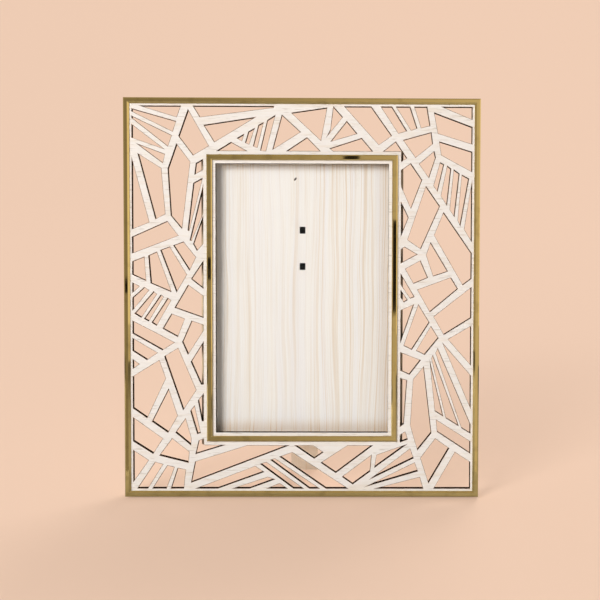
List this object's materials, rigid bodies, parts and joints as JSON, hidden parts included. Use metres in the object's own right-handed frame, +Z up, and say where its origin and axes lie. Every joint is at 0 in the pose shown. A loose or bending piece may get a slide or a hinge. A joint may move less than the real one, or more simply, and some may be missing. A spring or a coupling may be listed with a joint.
{
  "type": "picture frame",
  "caption": "Free-standing picture frame: a pale laser-cut lattice round a window, edged and inlaid in brass, with glass, a backboard, turn buttons and a hinged easel leg.",
  "frame": {"origin": "middle of the bounding box's bottom face, on the surface that the frame stands on", "axes": "+Z up, -Y towards the viewer in front of the window, +X to the viewer's right; the frame leans back 9 degrees about X"},
  "size_m": [0.194, 0.0546, 0.2168],
  "materials": {
    "trim_brass": "satin polished brass angle",
    "inlay_brass": "satin polished brass strip",
    "lattice_wood": "whitewashed, with burnt laser-cut edges",
    "back_wood": "pale limed grain",
    "rail_wood": "bare sanded",
    "leg_wood": "pale limed grain",
    "clear_glass": "clear float glass",
    "black_steel": "blackened steel",
    "bright_steel": "bright wire and pins"
  },
  "bodies": {
    "frame": {"outer_trim_top": "trim_brass", "outer_trim_bottom": "trim_brass", "outer_trim_left": "trim_brass", "outer_trim_right": "trim_brass", "lattice_sheet": "lattice_wood", "inlay_top": "inlay_brass", "inlay_bottom": "inlay_brass", "inlay_left": "inlay_brass", "inlay_right": "inlay_brass", "rail_top": "rail_wood", "rail_bottom": "rail_wood", "rail_left": "rail_wood", "rail_right": "rail_wood", "rail_brads": "bright_steel", "glass_pane": "clear_glass", "backboard": "back_wood", "button_pins": "bright_steel", "hinge_bracket": "black_steel", "hinge_pin": "bright_steel"},
    "leg": {"leg_leaf": "black_steel", "leaf_rivets": "bright_steel", "easel_leg": "leg_wood"},
    "button_upper_left": {"turn_button_upper_left": "black_steel"},
    "button_upper_right": {"turn_button_upper_right": "black_steel"},
    "button_lower_left": {"turn_button_lower_left": "black_steel"},
    "button_lower_right": {"turn_button_lower_right": "black_steel"}
  },
  "joints": [
    {"name": "leg_hinge", "type": "hinge", "parent": "frame", "child": "leg", "pos_m": [0, 0.00435, 0.11601], "axis": [1, 0, 0], "range_deg": [-19, 0]},
    {"name": "upper_left_swivel", "type": "hinge", "parent": "frame", "child": "button_upper_left", "pos_m": [-0.0533, 0.00927, 0.15472], "axis": [0, 0.9877, -0.1564], "continuous": true},
    {"name": "upper_right_swivel", "type": "hinge", "parent": "frame", "child": "button_upper_right", "pos_m": [0.0533, 0.00927, 0.15472], "axis": [0, 0.9877, -0.1564], "continuous": true},
    {"name": "lower_left_swivel", "type": "hinge", "parent": "frame", "child": "button_lower_left", "pos_m": [-0.0533, -0.00575, 0.0599], "axis": [0, 0.9877, -0.1564], "continuous": true},
    {"name": "lower_right_swivel", "type": "hinge", "parent": "frame", "child": "button_lower_right", "pos_m": [0.0533, -0.00575, 0.0599], "axis": [0, 0.9877, -0.1564], "continuous": true}
  ]
}
